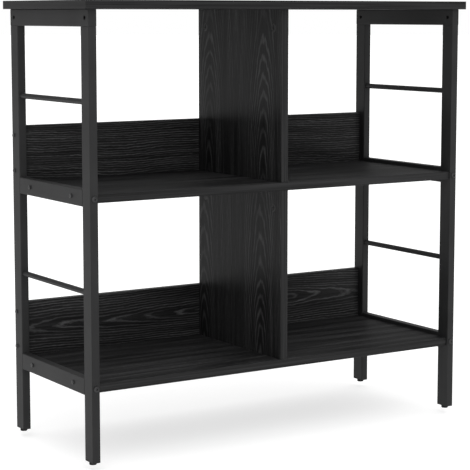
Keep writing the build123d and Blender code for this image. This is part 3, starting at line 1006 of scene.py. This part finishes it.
class BOOKCASE_OT_caps(bpy.types.Operator):
    """Build the end caps of the top rails and the plugs in the feet of the legs"""

    bl_idname = "bookcase.caps"
    bl_label = "Caps and plugs"

    def execute(self, context):
        sizes, colours = context.scene.bookcase_sizes, context.scene.bookcase_colours
        moulded = shared("black_plastic", plastic, colours.plastic)
        caps, plugs = [], []
        cap_low, cap_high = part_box("top_rail_end_caps")
        plug_low, plug_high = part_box("leg_foot_plugs")
        for side, end in CORNERS:
            rail_low, rail_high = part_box(f"{side}_top_rail")
            sign = ENDS[end]
            outer = cap_high.y if sign > 0 else cap_low.y
            inner = rail_high.y if sign > 0 else rail_low.y
            low = (rail_low.x, min(outer, inner), rail_low.z)
            high = (rail_high.x, max(outer, inner), rail_high.z)
            caps.append(corner_plug("cap", low, high, Y, -sign, sizes, sizes.cap_plug, sizes.cap_crown))

            leg_low, leg_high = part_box(f"{end}_{side}_leg")
            low = (leg_low.x, leg_low.y, plug_low.z)
            high = (leg_high.x, leg_high.y, leg_low.z)
            depth = plug_high.z - leg_low.z
            plug = corner_plug("plug", low, high, Z, 1, sizes, depth, sizes.foot_crown)
            middle = (leg_low + leg_high) / 2
            start = (middle.x, middle.y, plug_low.z - PROUD)
            depth = plug_high.z - plug_low.z + 2 * PROUD
            cut(plug, disc("bore", sizes.foot_bore, start, (0, 0, 1), depth, 32))
            plugs.append(plug)
        place(join("crowned_end_caps", caps), "top_rail_end_caps", moulded)
        place(join("bored_foot_plugs", plugs), "leg_foot_plugs", moulded)
        return {"FINISHED"}


def thread(name, radius, pitch, height):
    """A right-handed screw thread up from the origin, from a profile turned by the Screw modifier."""
    deselect()
    ridge = 0.6 * pitch
    root, middle = radius - ridge, -0.8 * pitch
    bpy.ops.mesh.primitive_plane_add(
        size=pitch, location=(root - pitch / 2, 0, middle), rotation=(math.pi / 2, 0, 0)
    )
    piece = settle(name)
    select_points(piece, lambda point: point.x < root - pitch / 2)
    bpy.ops.mesh.delete(type="VERT")
    bpy.ops.mesh.select_all(action="SELECT")
    bpy.ops.mesh.subdivide(number_cuts=2)
    select_points(piece, lambda point: abs(point.z - middle) < pitch / 4)
    bpy.ops.transform.translate(value=(ridge, 0, 0))
    bpy.ops.transform.resize(value=(1, 1, 0.36))
    leave(piece)
    modifier = piece.modifiers.new("Thread", "SCREW")
    modifier.steps = modifier.render_steps = 24
    modifier.screw_offset = pitch
    modifier.iterations = math.ceil(height / pitch) + 2
    bpy.ops.object.modifier_apply(modifier=modifier.name)
    weld(piece)
    for level, outward in ((0, -1), (height, 1)):
        edit(piece, "VERT")
        bpy.ops.mesh.select_all(action="SELECT")
        bpy.ops.mesh.bisect(
            plane_co=(0, 0, level),
            plane_no=(0, 0, outward),
            use_fill=True,
            clear_outer=True,
            threshold=1e-7,
        )
        leave(piece)
    edit(piece, "FACE")
    bpy.ops.mesh.select_all(action="SELECT")
    bpy.ops.mesh.normals_make_consistent(inside=False)
    leave(piece)
    return piece


class BOOKCASE_OT_feet(bpy.types.Operator):
    """Build the levelling feet: a fluted pad and a threaded stud under each leg"""

    bl_idname = "bookcase.feet"
    bl_label = "Levelling feet"

    def execute(self, context):
        sizes, colours = context.scene.bookcase_sizes, context.scene.bookcase_colours
        rubbery = shared("black_foot_plastic", plastic, colours.foot, 700.0)
        zinc = shared("zinc_plate", metal, colours.zinc, 0.26, 1.0)
        for side, end in CORNERS:
            node = f"{end}_{side}_foot_pad"
            low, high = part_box(node)
            middle = (low + high) / 2
            base = Vector((middle.x, middle.y, low.z))
            radius, height = (high.x - low.x) / 2, high.z - low.z
            pad = disc(f"fluted_{node}", radius, base, (0, 0, 1), height, 72)
            round_rim(pad, facing((0, 0, -1)), sizes.pad_tread, 3)
            round_rim(pad, facing((0, 0, 1)), sizes.pad_top, 3)
            select_faces(pad, self.flute)
            bpy.ops.mesh.inset(thickness=sizes.flute_edge, depth=-sizes.flute_depth)
            leave(pad)
            floor = (middle.x, middle.y, high.z - sizes.pad_bore_depth)
            cut(pad, disc("bore", sizes.pad_bore, floor, (0, 0, 1), 4 * MM, 32))
            place(pad, node, rubbery, f"{end}_{side}_pad")

            node = f"{end}_{side}_foot_stud"
            low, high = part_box(node)
            stud = thread("stud", sizes.stud_radius, sizes.thread_pitch, high.z - low.z)
            stud = copies(f"threaded_{node}", stud, [((middle.x, middle.y, low.z), (0, 0, 1))])
            place(stud, node, zinc, f"{end}_{side}_stud")
        return {"FINISHED"}

    @staticmethod
    def flute(normal, centre):
        """A test for the side faces of a pad that turn in at the flutes."""
        turn = math.degrees(math.atan2(normal.y, normal.x)) % 20
        return abs(normal.z) < 0.01 and turn < 10


class BOOKCASE_OT_hidden_fittings(bpy.types.Operator):
    """Give the fittings that keep their own shape their finishes"""

    bl_idname = "bookcase.hidden_fittings"
    bl_label = "Hidden fittings"

    def execute(self, context):
        colours = context.scene.bookcase_colours
        steel = shared("plain_steel", metal, colours.steel, 0.38, 1.0)
        zinc = shared("zinc_plate", metal, colours.zinc, 0.26, 1.0)
        oxide = shared("black_oxide", metal, colours.oxide, 0.30, 0.6)
        beech = shared("beech", beech_wood, colours.beech)
        finishes = {
            "leg_top_spigots": steel,
            "rail_end_blocks": steel,
            "foot_thread_inserts": zinc,
            "divider_cam_bolts": zinc,
            "divider_dowels": beech,
            "divider_base_screws": oxide,
            "top_board_screws": oxide,
        }
        for node, material in finishes.items():
            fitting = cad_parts[node]
            for slot in fitting.material_slots:
                slot.material = material
        return {"FINISHED"}


# ---------------------------------------------------------------- studio


class BOOKCASE_OT_studio(bpy.types.Operator):
    """Build the pale floor, the soft light and the camera"""

    bl_idname = "bookcase.studio"
    bl_label = "Studio"

    def execute(self, context):
        scene, stage = context.scene, context.scene.bookcase_stage
        self.floor(context)
        self.surround(scene, stage.surround)
        self.key(stage)
        self.camera(scene, stage)
        scene.view_settings.view_transform = "Standard"
        return {"FINISHED"}

    @staticmethod
    def floor(context):
        """A wide pale disc with a faint mottle, low enough for the feet to screw out above it."""
        deselect()
        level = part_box("front_left_foot_pad")[0].z - context.scene.bookcase_sizes.foot_travel
        bpy.ops.mesh.primitive_circle_add(
            vertices=96, radius=60, fill_type="NGON", location=(0, 0, level)
        )
        floor = settle("studio_floor")
        finish = Finish("pale_floor")
        tint = context.scene.bookcase_colours.floor
        mottle = finish.noise(finish.place, scale=3.0, detail=4.0)
        light = [min(1.0, channel * 1.02) for channel in tint]
        paint = finish.surface(
            Base_Color=finish.blend(mottle, rgba(tint), rgba(light)),
            Roughness=0.9,
            Specular_IOR_Level=0.1,
            Emission_Color=(1, 1, 1, 1),
            Emission_Strength=context.scene.bookcase_stage.floor_glow,
        )
        add_finish(floor, paint)

    @staticmethod
    def surround(scene, brightness):
        """White walls to the eye, and to the pieces a light that grows from the floor to overhead."""
        world = bpy.data.worlds.new("studio_walls")
        scene.world = world
        world.use_nodes = True
        nodes, links = world.node_tree.nodes, world.node_tree.links
        nodes.clear()
        output = nodes.new("ShaderNodeOutputWorld")
        mix = nodes.new("ShaderNodeMixShader")
        seen = nodes.new("ShaderNodeLightPath")
        walls, white = nodes.new("ShaderNodeBackground"), nodes.new("ShaderNodeBackground")
        for background in (walls, white):
            background.inputs["Color"].default_value = (1, 1, 1, 1)
        height = nodes.new("ShaderNodeSeparateXYZ")
        rise = nodes.new("ShaderNodeMapRange")
        links.new(nodes.new("ShaderNodeTexCoord").outputs["Generated"], height.inputs[0])
        links.new(height.outputs["Z"], rise.inputs[0])
        for socket, value in zip(rise.inputs[1:5], (0.0, 1.0, 0.2 * brightness, 1.6 * brightness)):
            socket.default_value = value
        links.new(rise.outputs[0], walls.inputs["Strength"])
        links.new(seen.outputs["Is Camera Ray"], mix.inputs[0])
        links.new(walls.outputs[0], mix.inputs[1])
        links.new(white.outputs[0], mix.inputs[2])
        links.new(mix.outputs[0], output.inputs["Surface"])

    @staticmethod
    def key(stage):
        """One very broad light from the front left and above."""
        bpy.ops.object.light_add(type="SUN", location=(-2, -2, 3))
        lamp = bpy.context.object
        lamp.name = "key_light"
        lamp.data.energy = stage.key_strength
        lamp.data.angle = stage.key_spread
        lamp.rotation_euler = Vector(stage.key_turn).to_track_quat("Z", "Y").to_euler()

    @staticmethod
    def camera(scene, stage):
        """The camera, a little above the top shelf and to the left."""
        bpy.ops.object.camera_add(location=stage.camera_place)
        camera = bpy.context.object
        camera.name = "studio_camera"
        camera.rotation_euler = (math.pi / 2 - stage.camera_dip, 0, -stage.camera_turn)
        camera.data.sensor_width = 36
        camera.data.lens = stage.lens
        camera.data.shift_y = stage.rise
        camera.data.clip_end = 200
        scene.camera = camera


# ---------------------------------------------------------------- add-on


STEPS = (
    BOOKCASE_OT_boards,
    BOOKCASE_OT_edge_bands,
    BOOKCASE_OT_frames,
    BOOKCASE_OT_rods,
    BOOKCASE_OT_bolts,
    BOOKCASE_OT_screws,
    BOOKCASE_OT_cam_locks,
    BOOKCASE_OT_caps,
    BOOKCASE_OT_feet,
    BOOKCASE_OT_hidden_fittings,
    BOOKCASE_OT_studio,
)


class BOOKCASE_PT_panel(bpy.types.Panel):
    """The sizes, the colours, the studio and the steps that build the bookcase"""

    bl_idname = "BOOKCASE_PT_panel"
    bl_label = "Open bookcase"
    bl_space_type = "VIEW_3D"
    bl_region_type = "UI"
    bl_category = "Bookcase"

    def draw(self, context):
        layout, scene = self.layout, context.scene
        for heading, group in (
            ("Sizes", scene.bookcase_sizes),
            ("Colours", scene.bookcase_colours),
            ("Studio", scene.bookcase_stage),
        ):
            box = layout.box()
            box.label(text=heading)
            for key in group.__annotations__:
                box.prop(group, key)
        for step in STEPS:
            layout.operator(step.bl_idname)


GROUPS = {
    "bookcase_sizes": BookcaseSizes,
    "bookcase_colours": BookcaseColours,
    "bookcase_stage": BookcaseStage,
}


def register():
    for cls in (*GROUPS.values(), *STEPS, BOOKCASE_PT_panel):
        bpy.utils.register_class(cls)
    for name, group in GROUPS.items():
        setattr(bpy.types.Scene, name, bpy.props.PointerProperty(type=group))


def unregister():
    for name in GROUPS:
        delattr(bpy.types.Scene, name)
    for cls in reversed((*GROUPS.values(), *STEPS, BOOKCASE_PT_panel)):
        bpy.utils.unregister_class(cls)


def main():
    register()
    bpy.ops.bookcase.boards()
    bpy.ops.bookcase.edge_bands()
    bpy.ops.bookcase.frames()
    bpy.ops.bookcase.rods()
    bpy.ops.bookcase.bolts()
    bpy.ops.bookcase.screws()
    bpy.ops.bookcase.cam_locks()
    bpy.ops.bookcase.caps()
    bpy.ops.bookcase.feet()
    bpy.ops.bookcase.hidden_fittings()
    bpy.ops.bookcase.studio()


if __name__ == "__main__":
    main()
